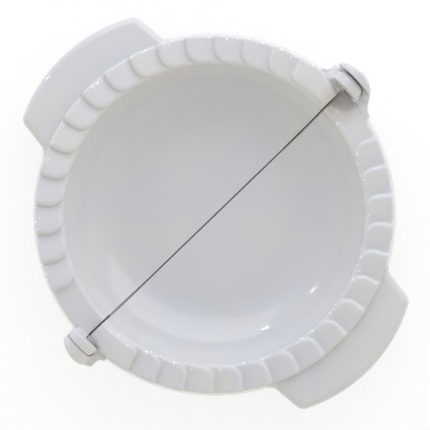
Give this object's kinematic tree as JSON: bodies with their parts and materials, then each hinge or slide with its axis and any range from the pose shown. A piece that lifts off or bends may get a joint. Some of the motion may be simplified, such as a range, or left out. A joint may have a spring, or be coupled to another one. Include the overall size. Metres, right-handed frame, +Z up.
{
  "type": "empanada press",
  "caption": "Hinged plastic press for filled dough: two half bowls with petal crimping rims and grips, opened flat; one folds over the other to seal.",
  "frame": {"origin": "on the table under the middle of the round rim, midway along the hinge line", "axes": "+Z up; +X along the hinge line, towards the end with the larger socket lug; the peg half lies on the +Y side and the socket half on the -Y side"},
  "size_m": [0.1668, 0.1828, 0.0347],
  "materials": {
    "white_plastic": "glossy white injection-moulded plastic with fine use scratches"
  },
  "bodies": {
    "table_side": {"peg_half": "white_plastic"},
    "folding_side": {"socket_half": "white_plastic"}
  },
  "joints": [
    {"name": "fold_hinge", "type": "hinge", "parent": "table_side", "child": "folding_side", "pos_m": [0, 0, 0.02595], "axis": [-1, 0, 0], "range_deg": [0, 180]}
  ]
}
